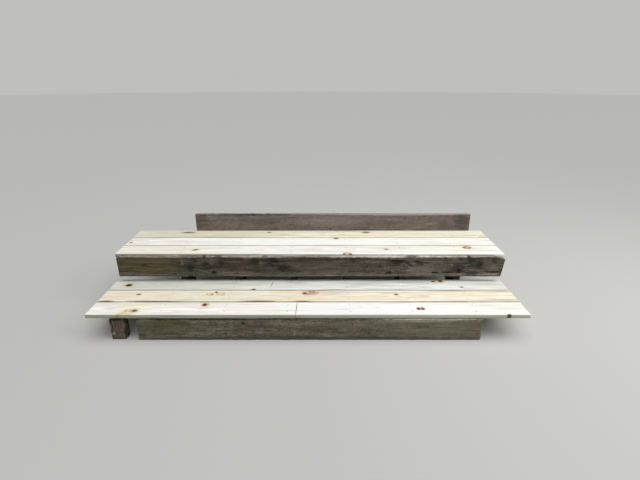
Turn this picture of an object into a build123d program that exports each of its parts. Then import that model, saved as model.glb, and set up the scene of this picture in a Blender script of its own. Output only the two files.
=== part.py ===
from build123d import *
from math import atan2, cos, sin, tan
import os

# Wooden deck stairs: two broad treads on notched stringers, hung on the side of a deck.
# Millimetres. +X runs along the treads to the right, +Y points back to the deck, +Z is up.
# The origin lies on the rear face of the hanger board, which is fixed to the deck,
# at half its height and in line with the middle of the treads.

# Sizes of the sawn boards
board_length = 2438.4
board_width = 139.7
board_thickness = 25.4
board_radius = 6.0
joist_thickness = 38.1
lower_riser_width = 139.7
upper_riser_width = 137.0
plank_width = 285.8
plate_width = 88.9
arris_radius = 3.0
worn_arris_radius = 5.0

# The steps
boards_in_tread = 3
board_gap = 4.2
butt_gap = 1.0
rise = 177.8
hanger_reveal = 119.0
upper_riser_drop = 5.5

# Where boards start and end along the treads
stringer_count = 6
left_overhang = 397.0
right_overhang = 258.0
lower_riser_overhang = 125.0
hanger_overhang = 175.0
upper_riser_left_inset = 22.5
upper_riser_right_inset = 5.2
upper_riser_skew = 16.0

# Corners broken off the old upper riser
right_chip_length = 62.0
right_chip_depth = 17.0
right_chip_break = 22.0
right_chip_drop = 12.0
left_chip_length = 20.0
left_chip_depth = 6.0

# Offcut that props the overhanging left end of the lower tread
block_width = 81.0
block_depth = 60.0
block_gap = 74.5
block_setback = 8.0
block_chip_width = 30.0
block_chip_height = 16.0

# Angle bracket between a stringer and the hanger board, with a row of nail holes in each leg
bracket_leg = 38.0
bracket_height = 90.0
bracket_thickness = 3.0
bracket_bend = 4.0
bracket_drop = 16.0
nail_hole = 5.0
holes_in_leg = 3
hole_spacing = 30.0
hole_inset = 13.0

# Heights, from the middle of the hanger board down to the ground
hanger_top = plank_width / 2
upper_seat = hanger_top - hanger_reveal - board_thickness
lower_seat = upper_seat - rise
ground = lower_seat - lower_riser_width
plate_top = ground + joist_thickness

# Places from the deck forwards
tread_depth = boards_in_tread * board_width + (boards_in_tread - 1) * board_gap
hanger_face = -joist_thickness
upper_front = hanger_face - butt_gap - tread_depth
lower_front = upper_front - butt_gap - tread_depth
front_cut = lower_front + joist_thickness
plate_back = front_cut + plate_width

# Outer faces of the first and the last stringer
left_face = left_overhang - board_length / 2
right_face = board_length / 2 - right_overhang
stringer_spacing = (right_face - left_face - joist_thickness) / (stringer_count - 1)

# Underside of a stringer: a line that lies a plank's width below its two nosing corners
pitch = atan2(rise, upper_front - front_cut)
nosing_drop = plank_width / cos(pitch)
heel = lower_seat - nosing_drop + tan(pitch) * (hanger_face - front_cut)
toe = front_cut + (ground - lower_seat + nosing_drop) / tan(pitch)

os.makedirs("parts", exist_ok=True)


def save(piece, name):
    piece.part.label = name
    export_step(piece.part, f"parts/{name}.step")


# Board on the flat or on edge along the stairs, with eased edges, centred at a place in YZ
def saw_board(name, left, right, centre, size, radius):
    with BuildPart() as board:
        with BuildSketch(Plane.YZ.offset(left)):
            with Locations(centre):
                RectangleRounded(size[0], size[1], radius)
        extrude(amount=right - left)
    save(board, name)


# Treads: radius-edge deck boards side by side, whose ends are a little out of line
def lay_tread(step, front, seat, shifts):
    for number, (place, shift) in enumerate(zip(("front", "middle", "back"), shifts)):
        saw_board(
            f"{step}_tread_{place}",
            shift - board_length / 2,
            shift + board_length / 2,
            (front + board_width / 2 + number * (board_width + board_gap), seat + board_thickness / 2),
            (board_width, board_thickness),
            board_radius,
        )


lay_tread("lower", lower_front, lower_seat, (-1.5, -2.0, -4.0))
lay_tread("upper", upper_front, upper_seat, (0.0, 1.0, -1.0))

# Lower riser: closes the front of the lower step, under the front edge of the tread
lower_riser_left = left_face - lower_riser_overhang
saw_board(
    "lower_riser",
    lower_riser_left,
    right_face,
    (lower_front + joist_thickness / 2, ground + lower_riser_width / 2),
    (joist_thickness, lower_riser_width),
    arris_radius,
)

# Hanger board: a plank on edge along the deck, which carries the backs of the stringers
saw_board(
    "hanger_board",
    left_face,
    right_face + hanger_overhang,
    (hanger_face + joist_thickness / 2, 0),
    (joist_thickness, plank_width),
    arris_radius,
)

# Kicker plate: lies flat on the ground in the notches at the feet of the stringers
saw_board(
    "kicker_plate",
    left_face,
    right_face,
    (front_cut + plate_width / 2, ground + joist_thickness / 2),
    (plate_width, joist_thickness),
    arris_radius,
)

# Upper riser: an old board that stands proud of the upper tread and covers its front edge,
# with both top corners broken off and its right end sawn out of square
riser_left = upper_riser_left_inset - board_length / 2
riser_right = board_length / 2 - upper_riser_right_inset
riser_top = upper_seat + board_thickness - upper_riser_drop
riser_bottom = riser_top - upper_riser_width
with BuildPart() as upper_riser:
    with BuildSketch(Plane.XZ.offset(-upper_front)):
        with BuildLine():
            Polyline(
                (riser_left, riser_bottom),
                (riser_right - upper_riser_skew, riser_bottom),
                (riser_right, riser_top - right_chip_depth),
                (riser_right - right_chip_length + right_chip_break, riser_top - right_chip_drop),
                (riser_right - right_chip_length, riser_top),
                (riser_left + left_chip_length, riser_top),
                (riser_left, riser_top - left_chip_depth),
                close=True,
            )
        make_face()
    extrude(amount=joist_thickness)
    fillet(upper_riser.edges().filter_by(Axis.X), worn_arris_radius)
save(upper_riser, "upper_riser")


# Stringer: a plank with two steps sawn out, a level foot and a notch over the kicker plate
def cut_stringer(number, centre):
    with BuildPart() as stringer:
        with BuildSketch(Plane.YZ.offset(centre - joist_thickness / 2)):
            with BuildLine():
                Polyline(
                    (front_cut, plate_top),
                    (front_cut, lower_seat),
                    (upper_front, lower_seat),
                    (upper_front, upper_seat),
                    (hanger_face, upper_seat),
                    (hanger_face, heel),
                    (toe, ground),
                    (plate_back, ground),
                    (plate_back, plate_top),
                    close=True,
                )
            make_face()
        extrude(amount=joist_thickness)
        underside = Axis((0, 0, 0), (0, cos(pitch), sin(pitch)))
        fillet(stringer.edges().filter_by(underside), arris_radius)
    save(stringer, f"stringer_{number}")


# Bracket: a bent steel angle on the side of a stringer that faces the middle of the stairs,
# punched for the nails that go into the hanger board and into the stringer's side
def bend_bracket(number, centre):
    side = 1 if centre < 0 else -1
    corner = centre + side * joist_thickness / 2
    half = bracket_thickness / 2
    bottom = upper_seat - bracket_drop - bracket_height
    middle = bottom + bracket_height / 2
    with BuildPart() as bracket:
        with BuildSketch(Plane.XY.offset(bottom)):
            with BuildLine():
                bent = FilletPolyline(
                    (corner + side * (bracket_leg - half), hanger_face - half),
                    (corner + side * half, hanger_face - half),
                    (corner + side * half, hanger_face + half - bracket_leg),
                    radius=bracket_bend,
                )
                offset(bent, amount=half, side=Side.BOTH)
            make_face()
        extrude(amount=bracket_height)
        with BuildSketch(Plane.XZ.offset(-hanger_face)):
            with Locations((corner + side * (bracket_leg - hole_inset), middle)):
                with GridLocations(0, hole_spacing, 1, holes_in_leg):
                    Circle(nail_hole / 2)
        extrude(amount=bracket_thickness, mode=Mode.SUBTRACT)
        with BuildSketch(Plane.YZ.offset(corner)):
            with Locations((hanger_face - bracket_leg + hole_inset, middle)):
                with GridLocations(0, hole_spacing, 1, holes_in_leg):
                    Circle(nail_hole / 2)
        extrude(amount=side * bracket_thickness, mode=Mode.SUBTRACT)
    save(bracket, f"hanger_bracket_{number}")


for number in range(1, stringer_count + 1):
    centre = left_face + joist_thickness / 2 + (number - 1) * stringer_spacing
    cut_stringer(number, centre)
    bend_bracket(number, centre)

# Prop block: stood on end under the lower tread, with its top left corner knocked off
block_right = lower_riser_left - block_gap
block_left = block_right - block_width
with BuildPart() as prop_block:
    with BuildSketch(Plane.XZ.offset(-lower_front - block_setback)):
        with BuildLine():
            Polyline(
                (block_left, ground),
                (block_right, ground),
                (block_right, lower_seat),
                (block_left + block_chip_width, lower_seat),
                (block_left, lower_seat - block_chip_height),
                close=True,
            )
        make_face()
    extrude(amount=-block_depth)
    fillet(prop_block.edges().filter_by(Axis.Z), arris_radius)
save(prop_block, "prop_block")
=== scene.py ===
from math import atan2, exp, pi, radians

import bmesh
import bpy
from mathutils import Euler, Matrix, Vector, noise


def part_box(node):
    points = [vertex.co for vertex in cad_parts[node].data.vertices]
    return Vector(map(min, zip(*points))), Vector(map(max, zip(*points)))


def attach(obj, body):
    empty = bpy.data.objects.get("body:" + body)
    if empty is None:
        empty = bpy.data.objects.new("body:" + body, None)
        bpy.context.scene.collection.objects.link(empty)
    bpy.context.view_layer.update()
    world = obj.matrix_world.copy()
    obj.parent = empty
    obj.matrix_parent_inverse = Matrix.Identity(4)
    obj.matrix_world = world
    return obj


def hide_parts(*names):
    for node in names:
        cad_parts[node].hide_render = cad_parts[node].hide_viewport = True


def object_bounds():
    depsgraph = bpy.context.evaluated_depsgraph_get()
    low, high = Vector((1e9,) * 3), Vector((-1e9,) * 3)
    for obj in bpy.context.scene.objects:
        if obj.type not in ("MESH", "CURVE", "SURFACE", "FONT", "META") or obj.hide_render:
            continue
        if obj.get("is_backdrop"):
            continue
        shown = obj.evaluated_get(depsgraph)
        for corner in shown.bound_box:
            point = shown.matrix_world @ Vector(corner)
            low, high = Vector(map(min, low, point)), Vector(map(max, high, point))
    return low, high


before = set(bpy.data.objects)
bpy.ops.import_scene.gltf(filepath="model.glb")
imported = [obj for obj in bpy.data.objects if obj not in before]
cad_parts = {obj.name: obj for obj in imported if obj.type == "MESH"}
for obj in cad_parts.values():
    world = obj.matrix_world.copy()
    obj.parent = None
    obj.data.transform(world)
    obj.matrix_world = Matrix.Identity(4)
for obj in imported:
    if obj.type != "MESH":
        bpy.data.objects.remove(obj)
cad_low, cad_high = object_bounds()

# The stairs stand on a plain pale floor, in soft light from above and a little from the right,
# and are seen from the photograph's viewpoint: a wide lens about 2 m in front of the lower step.
camera_place = (0.0655, -2.877, 1.0584)
camera_tilt = radians(21.351)
lens_length = 23.567


def add_object(name, data):
    """Puts a camera, a lamp or a mesh in the scene."""
    added = bpy.data.objects.new(name, data)
    bpy.context.collection.objects.link(added)
    return added


lens = bpy.data.cameras.new("camera")
lens.sensor_width = 36
lens.lens = lens_length
camera = add_object("camera", lens)
camera.location = camera_place
camera.rotation_euler = (pi / 2 - camera_tilt, 0, 0)
bpy.context.scene.camera = camera
bpy.context.scene.view_settings.view_transform = "Standard"

floor_colour = (0.5, 0.495, 0.48, 1)
floor_radius = 40
backdrop_colour = (0.52, 0.52, 0.51, 1)
sky_colour = (0.9, 0.95, 1.0, 1)
sky_strength = 0.11
overcast_strength = 2.85
overcast_spread = radians(80)
overcast_direction = (0.15, -0.28, 1.0)
side_lamp_place = (3.1, -1.3, 2.4)
side_lamp_aim = (0.2, -0.5, 0.0)
side_lamp_power = 36
side_lamp_width = 1.6


def wire(tree, kind, feeds, **options):
    """Adds a shader node. A feed is a value for an input, or the socket that is joined to it."""
    made = tree.nodes.new("ShaderNode" + kind)
    for option, choice in options.items():
        setattr(made, option, choice)
    for place, feed in feeds.items():
        if isinstance(feed, bpy.types.NodeSocket):
            tree.links.new(feed, made.inputs[place])
        else:
            made.inputs[place].default_value = feed
    return made


def new_material(name):
    """An empty material, and its node tree."""
    material = bpy.data.materials.new(name)
    material.use_nodes = True
    material.node_tree.nodes.clear()
    return material, material.node_tree


def finish_material(tree, finish):
    """Ends a material with a shader that takes its colour, roughness and the rest from feeds."""
    shader = wire(tree, "BsdfPrincipled", finish)
    wire(tree, "OutputMaterial", {"Surface": shader.outputs["BSDF"]})


overcast = bpy.data.lights.new("overcast", "SUN")
overcast.energy = overcast_strength
overcast.angle = overcast_spread
lamp = add_object("overcast", overcast)
lamp.rotation_euler = Vector(overcast_direction).to_track_quat("Z", "Y").to_euler()

softbox = bpy.data.lights.new("side lamp", "AREA")
softbox.energy = side_lamp_power
softbox.size = side_lamp_width
side_lamp = add_object("side lamp", softbox)
side_lamp.location = side_lamp_place
away = Vector(side_lamp_place) - Vector(side_lamp_aim)
side_lamp.rotation_euler = away.to_track_quat("Z", "Y").to_euler()

sky = bpy.data.worlds.new("sky")
sky.use_nodes = True
sky.node_tree.nodes.clear()
seen = wire(sky.node_tree, "LightPath", {}).outputs["Is Camera Ray"]
glow = wire(sky.node_tree, "Background", {"Color": sky_colour, "Strength": sky_strength})
backdrop = wire(sky.node_tree, "Background", {"Color": backdrop_colour, "Strength": 1.0})
shown = wire(sky.node_tree, "MixShader", {0: seen, 1: glow.outputs[0], 2: backdrop.outputs[0]})
wire(sky.node_tree, "OutputWorld", {"Surface": shown.outputs[0]})
bpy.context.scene.world = sky

level = Matrix.Translation((0, 0, cad_low.z))
disc = bmesh.new()
bmesh.ops.create_circle(disc, cap_ends=True, segments=96, radius=floor_radius, matrix=level)
floor_mesh = bpy.data.meshes.new("floor")
disc.to_mesh(floor_mesh)
disc.free()
floor = add_object("floor", floor_mesh)
floor_paint, tree = new_material("pale floor")
finish_material(tree, {"Base Color": floor_colour, "Roughness": 0.9})
floor_mesh.materials.append(floor_paint)
floor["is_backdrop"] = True

# Treads: six new deck boards of pale pine, planed, with rounded edges, screwed down three to a
# step with a gap between them. Each comes from another log, so rings, knots and tone differ.
deck_edge_radius = 0.006
deck_strip = 0.006
deck_step = 0.012
deck_wave = 0.0004
arris_segments = 5
sharp_angle = radians(40)
ring_stray = 0.036
knot_core = 0.3
mark_reach = 4
stain_end = 3


def edges_along(piece, axis, shortest):
    """The edges that run along an axis for more than a given length."""
    return [e for e in piece.edges if abs((e.verts[1].co - e.verts[0].co)[axis]) > shortest]


def mill_board(node, along, radius, strip, step):
    """A board as large as its CAD node: a box with rounded arrises, cut into strips and steps."""
    low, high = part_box(node)
    size = high - low
    place = Matrix.LocRotScale((low + high) / 2, None, size)
    board = bmesh.new()
    bmesh.ops.create_cube(board, size=1, matrix=place)
    bmesh.ops.bevel(
        board,
        geom=edges_along(board, along, size[along] / 2),
        offset=radius,
        offset_type="OFFSET",
        affect="EDGES",
        segments=arris_segments,
        profile=0.5,
        material=-1,
    )
    for axis in range(3):
        if axis != along:
            wide = edges_along(board, axis, size[axis] - 3 * radius)
            cuts = round((size[axis] - 2 * radius) / strip) - 1
            bmesh.ops.subdivide_edges(board, edges=wide, cuts=max(cuts, 1), use_grid_fill=True)
    long_edges = edges_along(board, along, size[along] / 2)
    cuts = round(size[along] / step) - 1
    bmesh.ops.subdivide_edges(board, edges=long_edges, cuts=cuts, use_grid_fill=True)
    return board, low, high


def outward(place, low, high, along, radius):
    """The direction in which a board's long faces and rounded arrises look at a place on them."""
    facing = Vector((0, 0, 0))
    for axis in range(3):
        if axis != along:
            core = min(max(place[axis], low[axis] + radius), high[axis] - radius)
            facing[axis] = place[axis] - core
    if facing.length < radius * 0.9:
        return Vector((0, 0, 0))
    return facing.normalized()


def finish_piece(name, shape, material, slot, *nodes):
    """Turns a bmesh into an object that rides on the stairs and may stand for CAD nodes."""
    bmesh.ops.recalc_face_normals(shape, faces=shape.faces)
    mesh = bpy.data.meshes.new(name)
    shape.to_mesh(mesh)
    shape.free()
    mesh.polygons.foreach_set("use_smooth", [True] * len(mesh.polygons))
    mesh.set_sharp_from_angle(angle=sharp_angle)
    mesh.materials.append(material)
    piece = add_object(name, mesh)
    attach(piece, "root")
    if nodes:
        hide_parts(*nodes)
    return piece


def reckon(tree, operation, *values):
    """Works out a number from others."""
    return wire(tree, "Math", dict(enumerate(values)), operation=operation).outputs[0]


def steer(tree, operation, *places):
    """Works out a place or a direction from others."""
    return wire(tree, "VectorMath", dict(enumerate(places)), operation=operation).outputs


def grade(tree, value, start, end, low, high, smooth="SMOOTHSTEP"):
    """Maps a value from one range to another, clamped, with a soft start and end."""
    feeds = {"Value": value, "From Min": start, "From Max": end, "To Min": low, "To Max": high}
    return wire(tree, "MapRange", feeds, interpolation_type=smooth).outputs["Result"]


def deepen(colour, share):
    """The same hue, darker."""
    return tuple(share * part for part in colour)


def grain_noise(tree, spot, fineness, detail, roughness=0.5, distortion=0.0):
    """A noise that is as fine along X, Y and Z as is given, so that it can run with the grain."""
    feeds = {
        "Vector": wire(tree, "Mapping", {"Vector": spot, "Scale": fineness}).outputs[0],
        "Scale": 1.0,
        "Detail": detail,
        "Roughness": roughness,
        "Distortion": distortion,
    }
    return wire(tree, "TexNoise", feeds).outputs["Fac"]


def mix(tree, amount, under, over, blend="MIX"):
    """Lays a colour over another, by an amount from 0 to 1."""
    under, over = ((*c, 1) if isinstance(c, tuple) else c for c in (under, over))
    feeds = {0: amount, 6: under, 7: over}
    return wire(tree, "Mix", feeds, data_type="RGBA", blend_type=blend).outputs[2]


def raised(tree, height, strength, distance):
    """The way a surface faces where its height makes fine relief."""
    feeds = {"Height": height, "Strength": strength, "Distance": distance}
    return wire(tree, "Bump", feeds).outputs["Normal"]


def growth_rings(tree, spot, pith, slope, ring):
    """How much late wood there is at a spot: rings round a pith that runs nearly along X."""
    drift_place = wire(tree, "Mapping", {"Vector": spot, "Scale": (1.3, 6, 6)}).outputs[0]
    drift = wire(tree, "TexNoise", {"Vector": drift_place, "Scale": 1.0, "Detail": 2.0})
    stray = (0, ring_stray, ring_stray)
    to_pith = {
        "Vector": steer(tree, "MULTIPLY_ADD", drift.outputs["Color"], stray, spot)[0],
        "Location": (0, -pith[0] - ring_stray / 2, -pith[1] - ring_stray / 2),
        "Rotation": (0, slope, slope * 0.4),
    }
    across = steer(tree, "MULTIPLY", wire(tree, "Mapping", to_pith).outputs[0], (0, 1, 1))[0]
    radius = steer(tree, "LENGTH", across)["Value"]
    season = reckon(tree, "FRACT", reckon(tree, "MULTIPLY", radius, 1 / ring))
    late = wire(tree, "ValToRGB", {"Fac": season})
    stops = late.color_ramp.elements
    stops[0].position = 0.3
    stops[0].color = (0, 0, 0, 1)
    stops[1].position = 0.86
    stops[1].color = (1, 1, 1, 1)
    stops.new(0.93).color = (1, 1, 1, 1)
    stops.new(1.0).color = (0, 0, 0, 1)
    return late.outputs["Color"]


def place_mark(tree, spot, middle, half_size, tilt):
    """Where a spot lies from a mark's middle, as a share of a few of the mark's half sizes."""
    reach = [mark_reach * half for half in half_size]
    feeds = {"Vector": spot, "Location": middle, "Rotation": tilt, "Scale": reach}
    return wire(tree, "Mapping", feeds, vector_type="TEXTURE").outputs[0]


def run_round(tree, grain, local, push):
    """Shifts the place at which the grain is looked up, so that it runs round a knot."""
    squared = steer(tree, "DOT_PRODUCT", local, local)["Value"]
    damped = reckon(tree, "ADD", squared, knot_core / mark_reach**2)
    pushed = steer(tree, "MULTIPLY", local, [part / mark_reach for part in push])[0]
    shift = steer(tree, "DIVIDE", pushed, damped)[0]
    return steer(tree, "SUBTRACT", grain, shift)[0]


def distance_out(tree, local, uneven):
    """The distance to a mark's middle in half sizes, with an outline that is uneven."""
    ball = wire(tree, "TexGradient", {"Vector": local}, gradient_type="SPHERICAL")
    return reckon(tree, "MULTIPLY_ADD", ball.outputs["Fac"], -mark_reach, uneven)


# Colours from the middle of a knot or another mark outwards, each with its distance and how much
# it covers. The mark's own outline lies at a distance of 1, and the wood is stained out to 3.
mark_kinds = {
    "dark": (
        (0, (0.03, 0.018, 0.011), 0.98),
        (0.5, (0.085, 0.052, 0.028), 0.96),
        (1, (0.05, 0.03, 0.018), 0.94),
        (1.18, (0.42, 0.28, 0.16), 0.65),
        (3, (0.84, 0.72, 0.52), 0),
    ),
    "red": (
        (0, (0.34, 0.14, 0.06), 0.95),
        (0.3, (0.56, 0.27, 0.13), 0.9),
        (0.5, (0.36, 0.15, 0.07), 0.9),
        (0.75, (0.62, 0.34, 0.18), 0.85),
        (1, (0.3, 0.13, 0.06), 0.8),
        (1.3, (0.8, 0.58, 0.38), 0.4),
        (3, (0.9, 0.8, 0.62), 0),
    ),
    "tan": (
        (0, (0.3, 0.19, 0.09), 0.85),
        (0.3, (0.6, 0.42, 0.22), 0.7),
        (0.5, (0.4, 0.26, 0.12), 0.7),
        (0.75, (0.76, 0.58, 0.34), 0.55),
        (1, (0.42, 0.25, 0.11), 0.65),
        (1.3, (0.86, 0.74, 0.5), 0.4),
        (3, (0.92, 0.86, 0.66), 0),
    ),
    "ring": (
        (0, (0.7, 0.46, 0.28), 0.5),
        (0.3, (0.9, 0.76, 0.56), 0.3),
        (0.5, (0.4, 0.2, 0.11), 0.8),
        (0.68, (0.9, 0.76, 0.56), 0.3),
        (0.95, (0.28, 0.14, 0.08), 0.92),
        (1.2, (0.88, 0.74, 0.54), 0.3),
        (3, (0.92, 0.86, 0.72), 0),
    ),
    "pit": (
        (0, (0.012, 0.008, 0.005), 1.0),
        (1, (0.02, 0.013, 0.008), 0.96),
        (1.2, (0.25, 0.17, 0.1), 0.45),
        (1.7, (0.7, 0.58, 0.42), 0),
    ),
    "eye": (
        (0, (0.74, 0.52, 0.34), 0.6),
        (0.45, (0.66, 0.44, 0.28), 0.6),
        (0.75, (0.24, 0.12, 0.07), 0.92),
        (1.05, (0.18, 0.09, 0.05), 0.96),
        (1.35, (0.8, 0.62, 0.44), 0.4),
        (3, (0.92, 0.86, 0.72), 0),
    ),
    "faint": (
        (0, (0.48, 0.46, 0.42), 0.45),
        (1, (0.6, 0.58, 0.54), 0.28),
        (2.2, (0.82, 0.8, 0.76), 0),
    ),
    "worn": (
        (0, (0.56, 0.56, 0.46), 0.44),
        (1, (0.58, 0.58, 0.48), 0.36),
        (3, (0.7, 0.7, 0.62), 0),
    ),
    "sallow": (
        (0, (0.76, 0.72, 0.55), 0.46),
        (1, (0.77, 0.73, 0.58), 0.4),
        (3, (0.84, 0.82, 0.72), 0),
    ),
    "clean": (
        (0, (0.99, 0.99, 0.985), 0.55),
        (1, (0.98, 0.98, 0.975), 0.45),
        (3, (0.96, 0.96, 0.95), 0),
    ),
    "speck": (
        (0, (0.2, 0.12, 0.07), 0.92),
        (0.6, (0.15, 0.095, 0.06), 0.92),
        (1, (0.06, 0.042, 0.03), 0.95),
        (1.2, (0.52, 0.4, 0.28), 0.5),
        (2.6, (0.84, 0.78, 0.62), 0),
    ),
    "stain": (
        (0, (0.78, 0.55, 0.32), 0.6),
        (1, (0.82, 0.64, 0.42), 0.35),
        (3, (0.88, 0.76, 0.54), 0),
    ),
    "bark": (
        (0, (0.12, 0.085, 0.05), 0.95),
        (1, (0.22, 0.15, 0.09), 0.8),
        (1.8, (0.62, 0.48, 0.32), 0),
    ),
    "yellow": (
        (0, (0.9, 0.82, 0.46), 0.4),
        (1, (0.92, 0.86, 0.56), 0.25),
        (3, (0.94, 0.9, 0.68), 0),
    ),
    "blush": (
        (0, (0.93, 0.75, 0.66), 0.35),
        (1, (0.94, 0.8, 0.72), 0.2),
        (3, (0.96, 0.88, 0.82), 0),
    ),
    "blue": (
        (0, (0.74, 0.82, 0.84), 0.45),
        (1, (0.8, 0.86, 0.87), 0.3),
        (3, (0.88, 0.92, 0.92), 0),
    ),
    "grey": (
        (0, (0.44, 0.46, 0.43), 0.5),
        (1, (0.56, 0.58, 0.54), 0.3),
        (3, (0.7, 0.72, 0.68), 0),
    ),
    "scribed": (
        (0, (0.2, 0.13, 0.08), 0.9),
        (1, (0.36, 0.24, 0.16), 0.6),
        (1.6, (0.7, 0.56, 0.44), 0),
    ),
}
true_knots = ("dark", "red", "tan", "ring", "eye", "pit")
mark_wobble = {"ring": 0.5, "scribed": 0.3}


def deck_pine(name, height, pith, slope, ring, early, late, edge, marks):
    """Fresh pine. A mark is a kind, its place in mm, its half length and width, and its tilt if
    it has one. The edge is painted shade on the faces that look along Y and their arrises, with a
    colour at the board's left end and one at its right."""
    material, tree = new_material(name)
    spot = wire(tree, "TexCoord", {}).outputs["Object"]
    ripple = grain_noise(tree, spot, (120, 120, 120), 4, 0.65)
    grain = spot
    stains = []
    for kind, x, y, half_length, half_width, *tilt in marks:
        middle = (x / 1000, y / 1000, height)
        half_size = (half_length / 1000, half_width / 1000, 1)
        local = place_mark(tree, spot, middle, half_size, (0, 0, radians(sum(tilt))))
        if kind in true_knots:
            grain = run_round(tree, grain, local, (0, half_width / 1000, 0))
        wobble = mark_wobble.get(kind, 1.1)
        uneven = reckon(tree, "MULTIPLY_ADD", ripple, wobble, mark_reach - wobble / 2)
        share = grade(tree, distance_out(tree, local, uneven), 0, stain_end, 0, 1, "LINEAR")
        stain = wire(tree, "ValToRGB", {"Fac": share})
        stops = stain.color_ramp.elements
        stops.remove(stops[1])
        heart, *outer = mark_kinds[kind]
        stops[0].position = heart[0]
        stops[0].color = (*heart[1], heart[2])
        for place, colour, cover in outer:
            stops.new(place / stain_end).color = (*colour, cover)
        stains.append(stain)
    rings = growth_rings(tree, grain, pith, slope, ring)
    fibre = grain_noise(tree, grain, (7, 330, 330), 5, 0.65)
    thread = grain_noise(tree, grain, (5, 105, 105), 3, distortion=0.4)
    streak = grain_noise(tree, grain, (2.2, 50, 50), 4, distortion=0.5)
    flame = grain_noise(tree, spot, (1.3, 15, 15), 2)
    amount = reckon(tree, "MULTIPLY", rings, grade(tree, fibre, 0.25, 0.75, 0.35, 1.0))
    colour = mix(tree, amount, early, late)
    for rough, start, end, most, tint in (
        (flame, 0.5, 0.68, 0.6, (0.93, 0.97, 0.88)),
        (flame, 0.5, 0.34, 0.6, (0.98, 0.91, 0.86)),
        (streak, 0.46, 0.74, 0.75, late),
        (thread, 0.48, 0.7, 0.85, late),
        (fibre, 0.5, 0.8, 0.45, (0.74, 0.68, 0.56)),
    ):
        tinged = grade(tree, rough, start, end, 0.0, most)
        colour = mix(tree, tinged, colour, tint, "MULTIPLY")
    for stain in stains:
        colour = mix(tree, stain.outputs["Alpha"], colour, stain.outputs["Color"])
    normal = wire(tree, "NewGeometry", {}).outputs["Normal"]
    parts = wire(tree, "SeparateXYZ", {0: normal}).outputs
    # Painted shade: faces that look along Y, and their arrises, are darkened by the edge colour.
    side = grade(tree, reckon(tree, "ABSOLUTE", parts["Y"]), 0.35, 0.9, 0.0, 1.0)
    along = wire(tree, "SeparateXYZ", {0: spot}).outputs["X"]
    painted_edge_shade = mix(tree, grade(tree, along, -1.2, 1.2, 0.0, 1.0, "LINEAR"), *edge)
    streaked = grade(tree, streak, 0.46, 0.74, 0.0, 0.75)
    painted_edge_shade = mix(tree, streaked, painted_edge_shade, (0.72, 0.74, 0.68), "MULTIPLY")
    colour = mix(tree, side, colour, painted_edge_shade, "MULTIPLY")
    end = grade(tree, reckon(tree, "ABSOLUTE", parts["X"]), 0.7, 0.95, 0.0, 0.8)
    colour = mix(tree, end, colour, (0.8, 0.7, 0.52), "MULTIPLY")
    relief = reckon(tree, "MULTIPLY_ADD", fibre, 0.7, amount)
    finish = {
        "Base Color": colour,
        "Roughness": grade(tree, amount, 0.0, 1.0, 0.72, 0.52),
        "Normal": raised(tree, relief, 0.5, 0.0003),
        "Specular IOR Level": 0.35,
    }
    finish_material(tree, finish)
    return material


cream = (0.93, 0.91, 0.83)
pale = (0.98, 0.98, 0.965)
greyish = (0.88, 0.9, 0.87)
straw = (0.91, 0.9, 0.79)
amber = (0.68, 0.58, 0.42)
honey = (0.76, 0.71, 0.63)
creamy = (0.97, 0.98, 0.94)
grey_late = (0.6, 0.61, 0.55)
# Edge colours, painted shade on each board's front and back faces: darker to the left, darkest
# where the edge stands in a gap; the lower front also has a damp olive tint.
shade_in_a_gap = ((0.28, 0.25, 0.19), (0.32, 0.29, 0.23))
damp_and_shaded_front = ((0.42, 0.42, 0.33), (0.57, 0.59, 0.48))
clean_front_shaded_left = ((0.6, 0.58, 0.48), (1.0, 1.0, 0.96))
lower_face = -0.1666
upper_face = 0.0112

lower_front_marks = (
    ("worn", -980, -772, 330, 12),
    ("worn", 520, -894, 380, 6),
    ("clean", -960, -893, 220, 5),
    ("clean", -140, -902, 130, 8),
    ("clean", 900, -903, 260, 9),
    ("clean", 420, -840, 330, 40),
    ("blush", -330, -830, 150, 28),
    ("blue", 150, -840, 200, 26),
    ("yellow", -985, -800, 60, 18),
    ("tan", -989, -860, 38, 24, 8),
    ("dark", -965, -852, 14, 10),
    ("tan", -1012, -856, 9, 9),
    ("tan", -1026, -884, 22, 6, 20),
    ("stain", -860, -826, 60, 8, 6),
    ("tan", -584, -788, 19, 15),
    ("dark", -591, -787, 11, 13),
    ("faint", -606, -832, 10, 10),
    ("faint", -574, -822, 16, 8),
    ("ring", 631, -830, 23, 17),
    ("bark", 630, -832, 12, 6),
    ("pit", 617, -831, 9, 12),
    ("pit", 642, -831, 9, 12),
    ("pit", 1101, -904, 12, 13),
    ("faint", 296, -812, 8, 7),
    ("faint", 390, -818, 22, 6, 4),
    ("faint", 928, -858, 8, 7),
    ("blush", 736, -825, 60, 9),
    ("scribed", -67, -828, 3.0, 62, -1),
    ("stain", -120, -850, 110, 4),
    ("grey", 190, -835, 60, 4, 3),
    ("blush", 900, -870, 140, 14),
)
lower_middle_marks = (
    ("sallow", -800, -690, 420, 60),
    ("stain", -1130, -700, 60, 12),
    ("stain", -872, -699, 60, 11),
    ("stain", -110, -637, 90, 9),
    ("stain", -160, -728, 170, 12),
    ("stain", 300, -700, 110, 8),
    ("stain", 60, -718, 90, 7),
    ("yellow", 1047, -674, 110, 18),
    ("yellow", 420, -690, 140, 14),
    ("ring", -592, -664, 22, 17),
    ("ring", -531, -660, 24, 18),
    ("ring", -562, -640, 16, 9),
    ("red", -578, -666, 9, 9),
    ("pit", -559, -639, 5, 9),
    ("red", 8, -646, 46, 25, 6),
    ("eye", 18, -634, 16, 11),
    ("dark", -25, -654, 10, 9),
    ("speck", 520, -666, 11, 9),
    ("speck", -1016, -665, 11, 8),
    ("bark", -1175, -750, 34, 9, 2),
    ("bark", -880, -751, 110, 6, -1),
    ("bark", -300, -750, 80, 8, 1),
    ("bark", -30, -751, 40, 7, -1),
    ("grey", 240, -640, 120, 5),
)
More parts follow.
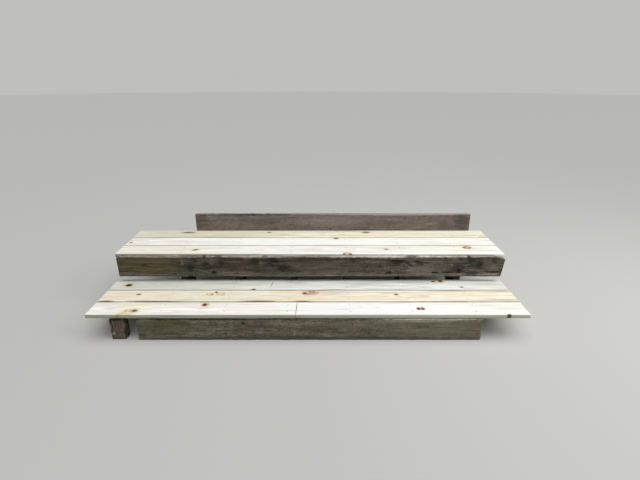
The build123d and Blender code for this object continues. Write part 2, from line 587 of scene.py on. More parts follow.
lower_back_marks = (
    ("worn", -900, -545, 250, 45),
    ("worn", -860, -578, 250, 24),
    ("blue", 855, -553, 80, 16),
    ("dark", -1124, -549, 19, 12),
    ("pit", -1124, -549, 14, 14),
    ("faint", -1116, -577, 6, 8),
    ("speck", -341, -604, 11, 8),
    ("ring", 812, -494, 34, 15),
    ("dark", 829, -494, 10, 11),
    ("speck", 782, -499, 11, 8),
    ("speck", 940, -574, 9, 7),
    ("scribed", -235, -537, 2.4, 36, -6),
    ("grey", -870, -500, 160, 7),
    ("grey", -560, -540, 140, 5),
    ("grey", -40, -560, 170, 6),
    ("grey", 380, -520, 150, 7),
    ("grey", 600, -590, 120, 4),
)
upper_front_marks = (
    ("sallow", -980, -400, 260, 60),
    ("worn", -860, -466, 300, 6),
    ("clean", 380, -466, 300, 5),
    ("blush", -760, -440, 110, 14),
    ("yellow", 940, -380, 130, 16),
    ("dark", -732, -402, 14, 8, 18),
    ("eye", 236, -468, 24, 17),
    ("eye", 1017, -364, 24, 18),
    ("bark", 1000, -365, 5, 10),
    ("bark", 1012, -356, 12, 5),
    ("faint", 1095, -398, 12, 8),
    ("faint", -826, -455, 8, 6),
    ("faint", -802, -455, 8, 6),
    ("blue", -105, -398, 75, 12),
    ("speck", 492, -394, 12, 7),
    ("grey", 120, -430, 150, 4),
)
upper_middle_marks = (
    ("clean", -60, -240, 420, 40),
    ("dark", -1197, -275, 8, 7),
    ("dark", 166, -197, 9, 6),
    ("pit", 178, -203, 15, 10),
    ("blush", 230, -205, 50, 14),
    ("grey", -700, -270, 180, 5),
)
upper_back_marks = (
    ("worn", -930, -110, 320, 60),
    ("worn", -720, -100, 300, 50),
    ("stain", -740, -90, 120, 12),
    ("bark", -868, -83, 40, 13),
    ("bark", 391, -81, 24, 15),
    ("speck", -297, -82, 13, 8),
    ("ring", 1190, -168, 20, 18),
    ("stain", 300, -140, 220, 8),
)

# Each board's upper face, its pith in Y and Z, how the pith slopes, how wide a ring is, its early
# and late wood, its edge colour of painted shade and its marks.
deck_boards = {
    "lower_tread_front": (
        lower_face, (-0.835, -0.215), 0.01, 0.005, pale, honey, damp_and_shaded_front, lower_front_marks,
    ),
    "lower_tread_middle": (
        lower_face, (-0.695, -0.205), -0.008, 0.004, cream, amber, shade_in_a_gap, lower_middle_marks,
    ),
    "lower_tread_back": (
        lower_face, (-0.525, -0.215), 0.012, 0.004, greyish, grey_late, shade_in_a_gap, lower_back_marks,
    ),
    "upper_tread_front": (
        upper_face, (-0.4, -0.045), -0.01, 0.0045, pale, honey, clean_front_shaded_left, upper_front_marks,
    ),
    "upper_tread_middle": (
        upper_face, (-0.26, -0.055), 0.009, 0.005, creamy, honey, shade_in_a_gap, upper_middle_marks,
    ),
    "upper_tread_back": (
        upper_face, (-0.12, -0.04), -0.011, 0.004, straw, amber, shade_in_a_gap, upper_back_marks,
    ),
}


def plane_off(place, seed):
    """How much the planer has taken off a deck board at a place on its face."""
    swing = noise.noise((place.x * 3, place.y * 12, seed * 7.3 + place.z * 20))
    return deck_wave * (1 + swing)


for seed, (node, wood) in enumerate(deck_boards.items()):
    board, low, high = mill_board(node, 0, deck_edge_radius, deck_strip, deck_step)
    for vert in board.verts:
        facing = outward(vert.co, low, high, 0, deck_edge_radius)
        vert.co -= facing * plane_off(vert.co, seed)
    planed = deck_pine(f"new pine {seed + 1}", *wood)
    finish_piece(node.replace("tread", "deck_board"), board, planed, "new_pine", node)

# Upper riser: an old plank nailed on so that it stands proud of the tread's edge. It is mildewed
# nearly black, worn at its arrises and split, both its top corners have broken off, and its right
# end was sawn out of square.
riser_radius = 0.005
old_strip = 0.002
old_step = 0.006
ridge_depth = 0.0007
ridge_scale = (7, 210, 210)
hump_depth = 0.0012
hump_scale = 9
arris_wear = 0.003
wear_scale = 34
split_wander = 0.0012
wander_scale = 60
full_sink_depth = 0.004
patch_depth = 0.04
old_ring = 0.0048
old_slope = 0.012
splinter_size = 0.0022
fray_size = 0.001


def lie_round(spot, knots):
    """Shifts a place on a board's front, so that the ridges of its grain run round its knots."""
    shifted = spot.copy()
    for x, z, half_length, half_height, strength in knots:
        down = (spot.x * 1000 - x) / half_length
        across = (spot.z * 1000 - z) / half_height
        reach = down * down + across * across + knot_core
        shifted.z -= strength * across * half_height / 1000 / reach
    return shifted


def weather(board, low, high, along, radius, seed, knots, splits, dents):
    """Moves an old board's skin in: raised grain, humps, worn arrises, splits and dents.

    A knot is its place on the front in mm, its half length, its half height and how far it pushes
    the ridges aside; a split or a dent has its depth instead. How deep each point lies and how
    near it is to an arris are kept for the material. The ends get a rim that stays as it is."""
    sunk = board.verts.layers.float.new("sunk")
    worn = board.verts.layers.float.new("worn")
    sides = [axis for axis in range(3) if axis != along]
    stretch = Vector(ridge_scale) if along == 0 else Vector(ridge_scale[::-1])
    for vert in board.verts:
        facing = outward(vert.co, low, high, along, radius)
        spot = vert.co.copy()
        grain = lie_round(spot, knots) * stretch + Vector((seed, 0, 0))
        ridges = noise.fractal(grain, 0.6, 2.1, 3)
        humps = noise.noise(spot * hump_scale + Vector((0, seed, 0)))
        inset = ridge_depth * (0.5 + ridges) + hump_depth * (0.5 + 0.5 * humps)
        gaps = [min(vert.co[a] - low[a], high[a] - vert.co[a]) for a in sides]
        nearness = exp(-((max(gaps) / (2.2 * radius)) ** 2))
        roughness = noise.noise(spot * wear_scale + Vector((0, 0, seed)))
        inset += arris_wear * nearness * max(0, 0.35 + roughness)
        if facing.y < -0.5:
            for x, z, half_length, half_height, depth in [*splits, *dents]:
                wave = split_wander * noise.noise((spot.x * wander_scale, z, seed))
                across = (spot.z + wave - z / 1000) / (half_height / 1000)
                down = (spot.x - x / 1000) / (half_length / 1000)
                if abs(across) < 3 and abs(down) < 1.5:
                    inset += depth / 1000 * exp(-across * across) * max(0, 1 - down**4)
        vert[sunk] = max(0, inset) / full_sink_depth
        vert[worn] = nearness
        vert.co -= facing * max(0, inset)
    ends = [f for f in board.faces if abs(f.normal[along]) > 0.9]
    bmesh.ops.inset_individual(board, faces=ends, thickness=radius / 2)
    for end in ends:
        for vert in end.verts:
            vert[sunk] = 0
            vert[worn] = 0


def laid_direction(lie):
    """The direction in which grain runs that lies along X turned by an Euler angle."""
    return Euler(lie).to_matrix() @ Vector((1, 0, 0))


def old_wood(name, lie, pith, tones, greyed, topped, front, knots, patches, mildew):
    """Weathered wood whose grain lies along X turned by an Euler angle, and round its knots.

    Tones go from dark to light; faces that rain falls on are topped. The front is a face's place
    on Y. A patch is a colour, its strength, its place there in mm, its half length, its half
    height and its tilt if it has one."""
    material, tree = new_material(name)
    spot = wire(tree, "TexCoord", {}).outputs["Object"]
    turned = {"Vector": spot, "Rotation": lie}
    grain = wire(tree, "Mapping", turned, vector_type="TEXTURE").outputs[0]
    for x, z, half_length, half_height, _ in knots:
        middle = (x / 1000, front, z / 1000)
        half_size = (half_length / 1000, 1, half_height / 1000)
        local = place_mark(tree, spot, middle, half_size, (0, 0, 0))
        grain = run_round(tree, grain, local, (0, 0, half_height / 1000))
    fibre = grain_noise(tree, grain, (6, 190, 190), 6, 0.65, 0.3)
    streak = grain_noise(tree, grain, (2.4, 46, 46), 4, distortion=0.6)
    blot = grain_noise(tree, spot, (16, 34, 34), 6, 0.7)
    mottle = grain_noise(tree, spot, (60, 95, 95), 5, 0.75)
    speck = grain_noise(tree, spot, (420, 420, 420), 2)
    tone = grade(tree, reckon(tree, "ADD", fibre, streak), 0.7, 1.3, 0, 1, "LINEAR")
    shade = wire(tree, "ValToRGB", {"Fac": tone})
    stops = shade.color_ramp.elements
    stops[0].color = (*tones[0], 1)
    stops[1].color = (*tones[2], 1)
    stops.new(0.5).color = (*tones[1], 1)
    rings = growth_rings(tree, grain, pith, old_slope, old_ring)
    ringed = reckon(tree, "MULTIPLY", rings, 0.3)
    colour = mix(tree, ringed, shade.outputs["Color"], deepen(tones[0], 0.45))
    normal = wire(tree, "NewGeometry", {}).outputs["Normal"]
    upward = wire(tree, "SeparateXYZ", {0: normal}).outputs["Z"]
    rained = reckon(tree, "MULTIPLY_ADD", upward, streak, 0.5)
    for rough, start, end, most, tint in (
        (rained, 0.84, 1.02, 0.95, topped),
        (blot, 0.5, 0.66, mildew, deepen(tones[0], 0.42)),
        (blot, 0.46, 0.34, 0.45, greyed),
        (mottle, 0.5, 0.66, 0.35 + 0.7 * mildew, deepen(tones[0], 0.5)),
        (mottle, 0.47, 0.33, 0.3 + 0.65 * mildew, greyed),
    ):
        colour = mix(tree, grade(tree, rough, start, end, 0.0, most), colour, tint)

    play = reckon(tree, "ADD", fibre, mottle)
    play = grade(tree, play, 0.78, 1.22, 0.35, 1.65, "LINEAR")
    uneven = reckon(tree, "MULTIPLY_ADD", mottle, 2.8, mark_reach - 2.15)
    uneven = reckon(tree, "MULTIPLY_ADD", fibre, 1.5, uneven)
    for tint, strength, x, z, half_length, half_height, *tilt in patches:
        middle = (x / 1000, front, z / 1000)
        half_size = (half_length / 1000, patch_depth, half_height / 1000)
        local = place_mark(tree, spot, middle, half_size, (0, radians(-sum(tilt)), 0))
        cover = grade(tree, distance_out(tree, local, uneven), 1.2, 0.45, 0.0, strength)
        colour = mix(tree, cover, colour, mix(tree, 1.0, play, tint, "MULTIPLY"))

    colour = mix(tree, grade(tree, speck, 0.6, 0.72, 0.0, 0.55), colour, deepen(tones[0], 0.3))
    # Darker where the skin lies deeper: in hollows of the grain, splits and dents.
    sunk = wire(tree, "Attribute", {}, attribute_name="sunk").outputs["Fac"]
    darker_where_sunk = grade(tree, sunk, 0.3, 0.95, 0.0, 0.85, "LINEAR")
    colour = mix(tree, darker_where_sunk, colour, deepen(tones[0], 0.22))
    worn = wire(tree, "Attribute", {}, attribute_name="worn").outputs["Fac"]
    rubbed = reckon(tree, "MULTIPLY", worn, fibre)
    colour = mix(tree, grade(tree, rubbed, 0.34, 0.62, 0.0, 0.75), colour, greyed)
    along = steer(tree, "DOT_PRODUCT", laid_direction(lie), normal)["Value"]
    sawn = grade(tree, reckon(tree, "ABSOLUTE", along), 0.75, 0.95, 0.0, 0.8)
    end_grain = mix(tree, rings, deepen(tones[1], 0.9), deepen(tones[0], 0.8))
    finish = {
        "Base Color": mix(tree, sawn, colour, end_grain),
        "Roughness": grade(tree, fibre, 0.3, 0.7, 0.92, 0.78),
        "Normal": raised(tree, reckon(tree, "ADD", fibre, speck), 0.7, 0.0008),
        "Specular IOR Level": 0.2,
    }
    finish_material(tree, finish)
    return material


mould = (0.018, 0.019, 0.013)
green_mould = (0.045, 0.048, 0.026)
red_rot = (0.08, 0.043, 0.036)
dark_rot = (0.045, 0.018, 0.013)
rotted_out = (0.006, 0.005, 0.003)
olive_damp = (0.108, 0.084, 0.038)
bleached = (0.22, 0.195, 0.16)
silvered = (0.4, 0.36, 0.31)
moss = (0.09, 0.088, 0.034)

flat_grain = (0, 0, 0)
riser_seed = 3.7
riser_pith = (-0.47, -0.09)
riser_mildew = 0.65
mildewed_tones = ((0.042, 0.036, 0.025), (0.112, 0.095, 0.071), (0.235, 0.202, 0.158))
mildewed_top = (0.43, 0.385, 0.33)
riser_knots = (
    (-808, -26, 15, 16, 0.3),
    (-651, -38, 27, 26, 0.3),
    (934, -75, 23, 15, 0.97),
)
riser_splits = (
    (788, -87, 22, 2.4, 6.0),
    (868, -86, 34, 2.2, 6.0),
    (1150, -86, 45, 2.0, 5.0),
    (1179, 4, 24, 1.3, 3.0),
    (497, -87, 14, 3.0, 7.0),
    (-68, -83, 32, 1.3, 2.5),
    (-426, -95, 60, 1.3, 2.5),
    (329, 9, 70, 1.3, 2.0),
)
riser_dents = (
    (-848, -99, 4, 3, 4),
    (-598, -87, 11, 5, 7),
    (931, -72, 10, 6, 3),
    (989, 13, 10, 6, 3),
    (-659, 16, 7, 4, 3),
    (-570, 16, 20, 4, 2),
    (636, 16, 36, 3, 2),
    (990, 17, 8, 5, 3),
)
riser_patches = (
    (olive_damp, 0.75, -1014, -38, 230, 75),
    (moss, 0.4, -1129, -7, 60, 26),
    ((0.17, 0.145, 0.115), 0.6, -1150, -97, 50, 14),
    (green_mould, 0.45, -960, 6, 320, 10),
    ((0.3, 0.235, 0.185), 0.8, -920, 21, 330, 10),
    (bleached, 0.45, -1024, -103, 190, 7),
    (mould, 0.65, -1031, -39, 28, 14, 5),
    (red_rot, 0.55, -848, -25, 20, 30),
    (mould, 0.5, -808, -28, 16, 20),
    (green_mould, 0.5, -728, -38, 110, 70),
    (mould, 0.75, -718, -2, 26, 18),
    (mould, 0.6, -742, -34, 56, 26),
    (mould, 0.8, -744, -55, 24, 28),
    ((0.15, 0.15, 0.085), 0.7, -790, -15, 6, 24, 12),
    (mould, 0.7, -651, -38, 36, 32),
    ((0.15, 0.13, 0.1), 0.6, -605, -14, 18, 24),
    (mould, 0.7, -551, -21, 17, 34),
    (red_rot, 0.65, -492, -46, 42, 16),
    ((0.105, 0.072, 0.058), 0.5, -409, -42, 60, 12),
    (mould, 0.55, -479, 6, 90, 14),
    (mould, 0.75, -337, -9, 34, 26),
    (mould, 0.5, -330, -50, 24, 22),
    ((0.19, 0.16, 0.14), 0.45, -304, -24, 14, 18, 30),
    (mould, 0.9, -235, -6, 52, 26),
    (mould, 0.95, -170, -58, 54, 28),
    ((0.13, 0.12, 0.09), 0.55, -233, -21, 52, 5, -33),
    (mould, 0.55, -242, -34, 60, 26),
    (mould, 0.35, -60, -22, 240, 26),
    (mould, 0.4, -383, -52, 260, 60),
    (rotted_out, 0.98, -598, -87, 16, 9),
    (mould, 0.85, -848, -99, 8, 5),
    (mould, 0.35, 160, 6, 420, 16),
    (mould, 0.55, 272, -7, 12, 16),
    ((0.105, 0.078, 0.064), 0.55, 140, -52, 260, 44),
    (bleached, 0.55, -450, -98, 130, 22),
    (bleached, 0.55, 710, -73, 150, 40),
    (bleached, 0.3, 60, -87, 180, 16),
    (green_mould, 0.7, 527, -12, 60, 26),
    (mould, 0.85, 548, -15, 30, 22),
    (mould, 0.8, 615, -27, 36, 9, -35),
    (mould, 0.8, 576, -7, 14, 10),
    (mould, 0.85, 676, -18, 36, 14, -22),
    (mould, 0.65, 722, -22, 26, 5, -10),
    (mould, 0.85, 943, -1, 17, 7, -15),
    ((0.2, 0.175, 0.135), 0.7, 887, -35, 16, 6, -33),
    (mould, 0.6, 931, -61, 44, 30),
    (mould, 0.55, 1037, -18, 84, 40),
    (mould, 0.75, 1007, -4, 28, 22),
    (red_rot, 0.9, 989, 11, 18, 11),
    (mould, 0.9, 1060, -34, 22, 30),
    ((0.2, 0.175, 0.135), 0.55, 985, -38, 22, 5, 20),
    (mould, 0.75, 1146, -7, 22, 20),
    ((0.175, 0.165, 0.13), 0.45, 1149, -60, 58, 30),
    (green_mould, 0.5, 1157, 9, 44, 10),
    (bleached, 0.7, 990, -101, 240, 13),
    (mould, 0.75, 1009, -94, 50, 18),
    ((0.3, 0.27, 0.24), 0.8, 1140, -100, 60, 14),
    (dark_rot, 0.95, 934, -77, 28, 17),
    (rotted_out, 0.8, 935, -84, 16, 8),
    (rotted_out, 0.98, 497, -87, 19, 8),
    (dark_rot, 0.97, 785, -88, 26, 6),
    (dark_rot, 0.97, 868, -88, 38, 5.5),
    (mould, 0.9, 1151, -85, 48, 8),
    (mould, 0.7, 1179, 4, 26, 4),
    ((0.26, 0.235, 0.21), 0.55, 180, -108, 1000, 7),
    # Painted highlight, partly rubbed pale: the pale strips along the top arris.
    ((0.68, 0.63, 0.56), 0.9, 560, 21, 540, 11),
    ((0.5, 0.46, 0.4), 0.7, -320, 22, 300, 9),
    (mould, 0.95, -654, 18, 14, 10),
    (mould, 0.8, -567, 18, 28, 7),
    (mould, 0.65, -275, 17, 22, 6),
    (mould, 0.8, 636, 18, 42, 8),
    (mould, 0.85, 990, 17, 11, 6),
    (silvered, 0.9, -825, 15, 7, 4),
)

# How a broken corner runs: distances from the board's end, and how far the wood is down there.
right_break = ((0.0, 0.017), (0.04, 0.012), (0.062, 0.0))
left_break = ((0.0, 0.006), (0.02, 0.0))
least_break = 0.0003
end_skew = 0.016
skew_reach = 0.12


def break_depth(outline, distance):
    """How far a broken corner has come down at a distance from the board's end."""
    for (near, deep), (far, shallow) in zip(outline, outline[1:]):
        if distance <= far:
            return deep + (shallow - deep) * (distance - near) / (far - near)
    return 0.0


board, low, high = mill_board("upper_riser", 0, riser_radius, old_strip, old_step)
weather(board, low, high, 0, riser_radius, riser_seed, riser_knots, riser_splits, riser_dents)
for vert in board.verts:
    x, y, z = vert.co
    lost = max(break_depth(right_break, high.x - x), break_depth(left_break, x - low.x))
    if lost > 0:
        splinter = splinter_size * noise.noise((x * 90, y * 160, 0.5))
        splinter += fray_size * noise.noise((x * 300, y * 40, 2.5))
        vert.co.z = min(z, high.z - max(least_break, lost + splinter))
    lean = end_skew * (high.z - right_break[0][1] - vert.co.z) / (high.z - low.z)
    reach = min(1, max(0, (x - high.x + skew_reach) / skew_reach))
    vert.co.x -= max(0, lean) * reach
mildewed = old_wood(
    "mildewed pine", flat_grain, riser_pith, mildewed_tones, bleached, mildewed_top, low.y,
    riser_knots, riser_patches, riser_mildew,
)
finish_piece("old_upper_riser", board, mildewed, "weathered_pine", "upper_riser")

# Lower riser: another old plank, nailed to the stringers' front cuts; damp and greenish at its
# left end, greyer to the right. Along its top runs a painted shadow under the tread's edge, and
# further right a painted highlight on its top arris, partly rubbed pale.
lower_radius = 0.003
lower_seed = 11.1
lower_pith = (-0.84, -0.25)
lower_mildew = 0.55
damp_tones = ((0.092, 0.08, 0.05), (0.16, 0.144, 0.098), (0.24, 0.218, 0.158))
damp_greyed = (0.34, 0.31, 0.25)
damp_top = (0.4, 0.37, 0.3)
lower_knots = ((-356, -207, 7, 5, 0.8),)
lower_splits = ((-640, -262, 80, 1.3, 2.5), (300, -228, 95, 1.3, 2.0), (780, -280, 60, 1.3, 3.0))
lower_patches = (
    (moss, 0.5, -800, -240, 190, 60),
    # Painted shadow: the dark strips along the top, under the tread's edge.
    (mould, 0.9, -560, -183, 520, 8),
    (mould, 0.8, 120, -180, 300, 5),
    (mould, 0.35, -680, -215, 90, 10),
    (bleached, 0.35, -60, -215, 60, 16),
    (bleached, 0.35, 250, -225, 160, 20),
    ((0.2, 0.185, 0.13), 0.6, 700, -240, 360, 80),
    (silvered, 0.55, 640, -196, 360, 9),
    (mould, 0.9, 690, -179, 420, 4),
    # Painted highlight, partly rubbed pale: the pale line on the top arris.
    ((0.64, 0.59, 0.49), 0.95, 700, -185, 330, 5),
    (mould, 0.9, -358, -209, 10, 8),
    (red_rot, 0.3, -300, -240, 120, 30),
    (red_rot, 0.3, 60, -240, 120, 24),
    (mould, 0.35, 640, -232, 60, 14),
    (green_mould, 0.5, 0, -308, 980, 16),
)
board, low, high = mill_board("lower_riser", 0, lower_radius, old_strip, old_step)
weather(board, low, high, 0, lower_radius, lower_seed, lower_knots, lower_splits, ())
damp = old_wood(
    "damp old pine", flat_grain, lower_pith, damp_tones, damp_greyed, damp_top, low.y,
    lower_knots, lower_patches, lower_mildew,
)
finish_piece("old_lower_riser", board, damp, "weathered_pine", "lower_riser")

# Hanger board: a wide plank nailed up on edge at the back, which carries the stringers. Its
# planed face has gone an even brownish grey. Its top arris is rubbed pale and wavy on the right,
# and darkened by painted shade on the left.
hanger_radius = 0.003
hanger_strip = 0.0026
hanger_step = 0.01
hanger_seed = 23.9
hanger_pith = (0.06, 0.02)
hanger_mildew = 0.25
grey_tones = ((0.15, 0.119, 0.1), (0.205, 0.165, 0.141), (0.265, 0.221, 0.193))
warm_grey = (0.3, 0.26, 0.23)
grey_top = (0.36, 0.32, 0.28)
hanger_knots = ((253, 36, 6, 5, 0.6), (-640, -40, 15, 12, 0.7), (820, -70, 17, 13, 0.7))
hanger_splits = ((671, 116, 3, 10, 2.0), (-130, 121, 42, 1.4, 2.5), (420, 62, 110, 1.4, 1.5))
hanger_dents = ((-145, 70, 5, 4, 3), (-517, 56, 5, 4, 3), (-10, 78, 4, 4, 3), (140, 34, 5, 4, 3))
hanger_patches = (
    (mould, 0.6, -145, 70, 8, 6),
    (mould, 0.45, -517, 56, 9, 5),
    (mould, 0.45, -10, 78, 7, 5),
    (mould, 0.7, 140, 34, 8, 6),
    (mould, 0.5, 671, 116, 5, 20),
    (mould, 0.45, -130, 121, 40, 3),
    (silvered, 0.5, 846, 75, 28, 4),
    (red_rot, 0.25, -330, 85, 90, 24),
    (warm_grey, 0.5, 140, 90, 330, 50),
    (mould, 0.3, -790, 90, 60, 60),
    (mould, 0.45, 1080, 80, 60, 90),
    ((0.14, 0.115, 0.095), 0.7, 990, 52, 90, 26),
    # Painted shade: the dark strip along the left part of the top arris.
    (mould, 0.9, -440, 150, 560, 16),
    ((0.38, 0.33, 0.29), 0.6, 560, 139, 520, 6),
)
board, low, high = mill_board("hanger_board", 0, hanger_radius, hanger_strip, hanger_step)
weather(board, low, high, 0, hanger_radius, hanger_seed, hanger_knots, hanger_splits, hanger_dents)
grey = old_wood(
    "grey plank", flat_grain, hanger_pith, grey_tones, warm_grey, grey_top, low.y,
    hanger_knots, hanger_patches, hanger_mildew,
)
finish_piece("old_hanger_board", board, grey, "grey_board", "hanger_board")

# Prop block: an offcut stood on end under the overhanging left end of the lower tread. It is
# reddish brown and rough, and its top left corner has been knocked off. Its top is darkened by a
# painted shadow from the tread, and its right side is lightened by a painted highlight laid on
# as a pale greenish lichen.
block_radius = 0.003
block_strip = 0.003
block_step = 0.004
block_chip = (0.03, 0.016)
block_seed = 31.3
block_pith = (-0.845, -1.11)
block_mildew = 0.6
upright_grain = (0, -pi / 2, 0)
red_tones = ((0.052, 0.04, 0.028), (0.135, 0.106, 0.078), (0.27, 0.212, 0.16))
red_greyed = (0.26, 0.21, 0.17)
block_splits = ((-1052, -240, 2, 30, 2.0),)
block_patches = (
    (red_rot, 0.35, -1060, -230, 40, 50),
    ((0.34, 0.29, 0.25), 0.75, -1099, -241, 7, 20),
    ((0.36, 0.34, 0.29), 0.6, -1088, -280, 12, 12),
    # Painted highlight, as a pale greenish lichen, on the right side near the front.
    ((0.42, 0.44, 0.32), 0.9, -1016, -236, 9, 34),
    # Painted shadow from the tread over the block's top.
    (mould, 0.95, -1062, -180, 90, 26),
    (green_mould, 0.5, -1062, -312, 48, 12),
)
board, low, high = mill_board("prop_block", 2, block_radius, block_strip, block_step)
weather(board, low, high, 2, block_radius, block_seed, (), block_splits, ())
bmesh.ops.bisect_plane(
    board,
    geom=[*board.verts, *board.edges, *board.faces],
    plane_co=(low.x, 0, high.z - block_chip[1]),
    plane_no=(-block_chip[1], 0, block_chip[0]),
    clear_outer=True,
)
bmesh.ops.edgeloop_fill(board, edges=[e for e in board.edges if e.is_boundary])
reddish = old_wood(
    "reddish offcut", upright_grain, block_pith, red_tones, red_greyed, red_greyed, low.y,
    (), block_patches, block_mildew,
)
finish_piece("old_prop_block", board, reddish, "old_block", "prop_block")

# Stringers and kicker plate: rough planks sawn to two steps, and a plate that lies in the
# notches at their feet. They are nailed together and have never been painted. Their dark tones are
# weathered wood and partly painted shade, so that they sink into the shade under the treads.
step_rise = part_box("upper_tread_back")[0].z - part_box("lower_tread_back")[0].z
step_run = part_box("upper_riser")[1].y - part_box("lower_riser")[1].y
stringer_pitch = atan2(step_rise, step_run)
dark_and_shaded_tones = ((0.055, 0.043, 0.03), (0.095, 0.076, 0.054), (0.15, 0.122, 0.09))
dark_greyed = (0.15, 0.13, 0.105)
dark_mildew = 0.5
dark = (dark_and_shaded_tones, dark_greyed, dark_greyed, 0, (), (), dark_mildew)
pitched_grain = (0, -stringer_pitch, pi / 2)
stringer_pith = (0.35, 0.21)
plate_pith = (-0.81, -0.345)
shaded_dark_plank = old_wood("shaded dark plank", pitched_grain, stringer_pith, *dark)
shaded_dark_plate = old_wood("shaded dark plate", flat_grain, plate_pith, *dark)
stringers = range(1, 7)


def paint_node(node, material):
    """Gives a CAD node its finish."""
    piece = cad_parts[node]
    piece.data.materials.clear()
    piece.data.materials.append(material)


for number in stringers:
    paint_node(f"stringer_{number}", shaded_dark_plank)
paint_node("kicker_plate", shaded_dark_plate)

# Hanger brackets: bent from 3 mm steel, hot-dip galvanised, so that the zinc has set in
# spangles and bloomed white in places. One ties each stringer to the hanger board.
zinc, tree = new_material("galvanised steel")
spot = wire(tree, "TexCoord", {}).outputs["Object"]
spangle = wire(tree, "TexVoronoi", {"Vector": spot, "Scale": 130.0}).outputs["Color"]
spangle = wire(tree, "SeparateColor", {0: spangle}).outputs["Red"]
bloom = grain_noise(tree, spot, (60, 60, 60), 5)
bloomed = grade(tree, bloom, 0.5, 0.62, 0.0, 0.8)
colour = mix(tree, spangle, (0.42, 0.43, 0.44), (0.6, 0.61, 0.62))
finish = {
    "Base Color": mix(tree, bloomed, colour, (0.66, 0.66, 0.64)),
    "Metallic": 0.85,
    "Roughness": grade(tree, bloomed, 0.0, 0.8, 0.42, 0.75),
    "Normal": raised(tree, bloom, 0.3, 0.0004),
}
finish_material(tree, finish)
for number in stringers:
    paint_node(f"hanger_bracket_{number}", zinc)

# Bracket nails: short galvanised nails with domed heads, driven home through the punched holes,
# three through each leg of each bracket.
nail_radius = 0.0045
nail_rise = 0.0016
nail_inset = 0.025
nail_drops = (0.015, 0.045, 0.075)
sheet_thickness = 0.003


def drive_nail(shape, place, facing, radius, rise):
    """Adds a nail head that sits on a face, looks along a direction and is a little domed."""
    facing = Vector(facing)
    middle = Matrix.Translation(Vector(place) + facing * rise * 0.3)
    turn = facing.to_track_quat("Z", "Y").to_matrix().to_4x4()
    cap = bmesh.ops.create_cone(
        shape,
        cap_ends=True,
        cap_tris=False,
        segments=14,
        radius1=radius,
        radius2=radius * 0.92,
        depth=rise,
        matrix=middle @ turn,
    )["verts"]
    crown = [f for f in {f for v in cap for f in v.link_faces} if f.normal.dot(facing) > 0.9]
    for inset, lift in ((0.25, 0.22), (0.4, 0.1)):
        bmesh.ops.inset_region(shape, faces=crown, thickness=radius * inset, depth=rise * lift)


bracket_nails = bmesh.new()
for number in stringers:
    low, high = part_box(f"hanger_bracket_{number}")
    side = 1 if low.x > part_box(f"stringer_{number}")[0].x else -1
    corner = low.x if side > 0 else high.x
    for drop in nail_drops:
        height = high.z - drop
        flat = (corner + side * nail_inset, high.y - sheet_thickness, height)
        drive_nail(bracket_nails, flat, (0, -1, 0), nail_radius, nail_rise)
        upright = (corner + side * sheet_thickness, high.y - nail_inset, height)
        drive_nail(bracket_nails, upright, (side, 0, 0), nail_radius, nail_rise)
finish_piece("bracket_nails", bracket_nails, zinc, "galvanised_steel")

# Deck screws: coated steel screws with a flat 8 mm head and a star recess. Two hold each deck
# board to each stringer, driven until their heads are nearly level with the wood.
screw_radius = 0.004
screw_head = 0.0012
screw_recess = 0.0003
screw_proud = 0.00035
screw_inset = 0.033
screw_side = 0.012
screw_stray = 0.004
star_size = 0.5
star_waist = 0.66


def middle_of(node):
    """The X of a CAD node's middle."""
    low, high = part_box(node)
    return (low.x + high.x) / 2


def drive_screw(shape, place):
    """Adds a flat screw head with a star recess, its top at a place."""
    top = Matrix.Translation(place)
    rim, star = (
        bmesh.ops.create_circle(shape, segments=12, radius=radius, matrix=top)["verts"]
        for radius in (screw_radius, screw_radius * star_size)
    )
    for vert in star[::2]:
        vert.co = place + (vert.co - place) * star_waist
    ring_edges = [e for e in shape.edges if e.verts[0] in rim or e.verts[0] in star]
    bmesh.ops.bridge_loops(shape, edges=ring_edges)
    for loop, sink in ((rim, screw_head), (star, screw_recess)):
        edges = [e for e in {e for v in loop for e in v.link_edges} if e.is_boundary]
        made = bmesh.ops.extrude_edge_only(shape, edges=edges)["geom"]
        low_verts = [g for g in made if isinstance(g, bmesh.types.BMVert)]
        bmesh.ops.translate(shape, vec=(0, 0, -sink), verts=low_verts)
        if loop is star:
            recess = [g for g in made if isinstance(g, bmesh.types.BMFace)]
            bottom = [g for g in made if isinstance(g, bmesh.types.BMEdge) and g.is_boundary]
            recess += bmesh.ops.edgeloop_fill(shape, edges=bottom)["faces"]
            for face in recess:
                face.material_index = 1


deck_screws = bmesh.new()
for seed, node in enumerate(deck_boards):
    low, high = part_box(node)
    for number in stringers:
        middle = middle_of(f"stringer_{number}") - screw_side
        for across in (-screw_inset, screw_inset):
            stray = screw_stray * noise.noise_vector((middle * 9, low.y * 9 + across * 50, 1.5))
            place = Vector((middle + stray.x, (low.y + high.y) / 2 + across + stray.y, high.z))
            place.z += screw_proud - plane_off(place, seed)
            drive_screw(deck_screws, place)
coated, tree = new_material("coated screw")
spot = wire(tree, "TexCoord", {}).outputs["Object"]
scuff = grain_noise(tree, spot, (700, 700, 700), 3)
scuffed = grade(tree, scuff, 0.48, 0.62, 0.0, 0.8)
finish = {
    "Base Color": mix(tree, scuffed, (0.66, 0.57, 0.42), (0.42, 0.37, 0.29)),
    "Metallic": 0.3,
    "Roughness": grade(tree, scuff, 0.3, 0.7, 0.38, 0.6),
}
finish_material(tree, finish)
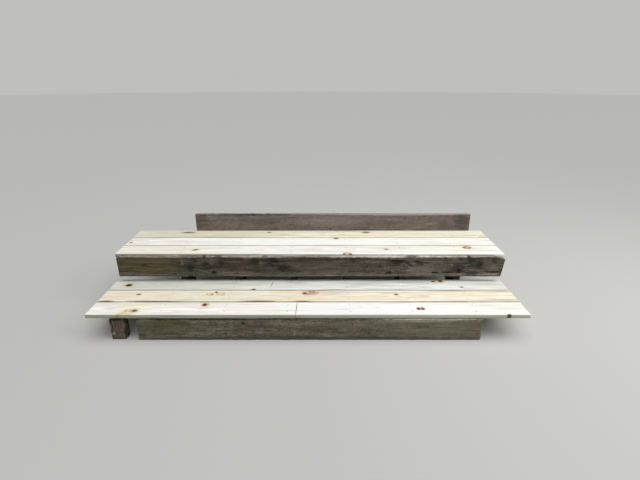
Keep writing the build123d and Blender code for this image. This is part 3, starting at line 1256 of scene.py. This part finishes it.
# Painted shade: the star recess is too shallow to hold shade, so its faces are coloured dark.
recess_shade, tree = new_material("painted shade in a screw")
spot = wire(tree, "TexCoord", {}).outputs["Object"]
recess_mottle = grain_noise(tree, spot, (900, 900, 900), 2)
painted_recess_shade = mix(tree, recess_mottle, (0.05, 0.04, 0.03), (0.16, 0.13, 0.09))
finish_material(tree, {"Base Color": painted_recess_shade, "Roughness": 0.9})
screws = finish_piece("deck_screws", deck_screws, coated, "galvanised_steel")
screws.data.materials.append(recess_shade)

# Old nails: round wire nails with flat heads, rusted brown. Two go through each old riser into
# every stringer, and a few go through the hanger board.
old_nail_radius = 0.0038
old_nail_rise = 0.0012
old_nail_stray = 0.005
riser_nail_sink = 0.0014
riser_nail_drops = {"upper_riser": (0.042, 0.108), "lower_riser": (0.036, 0.104)}
hanger_nail_radius = 0.004
hanger_nail_sink = 0.002
hanger_nails = ((-0.517, 0.056), (-0.145, 0.07), (-0.01, 0.078), (0.14, 0.034), (0.64, 0.05))
rust, tree = new_material("rusted nail")
spot = wire(tree, "TexCoord", {}).outputs["Object"]
pitted = grain_noise(tree, spot, (500, 500, 500), 4)
scaled = grade(tree, pitted, 0.4, 0.6, 0.0, 1.0)
finish = {
    "Base Color": mix(tree, scaled, (0.045, 0.026, 0.018), (0.13, 0.062, 0.032)),
    "Roughness": 0.85,
    "Metallic": 0.2,
    "Normal": raised(tree, pitted, 0.6, 0.0005),
}
finish_material(tree, finish)
old_nails = bmesh.new()
for node, drops in riser_nail_drops.items():
    low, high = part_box(node)
    for number in stringers:
        middle = middle_of(f"stringer_{number}")
        for drop in drops:
            stray = old_nail_stray * noise.noise_vector((middle * 7, drop * 90, low.z))
            place = (middle + stray.x, low.y + riser_nail_sink, high.z - drop + stray.y)
            drive_nail(old_nails, place, (0, -1, 0), old_nail_radius, old_nail_rise)
for x, z in hanger_nails:
    place = (x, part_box("hanger_board")[0].y + hanger_nail_sink, z)
    drive_nail(old_nails, place, (0, -1, 0), hanger_nail_radius, old_nail_rise)
finish_piece("old_nails", old_nails, rust, "galvanised_steel")

low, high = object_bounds()
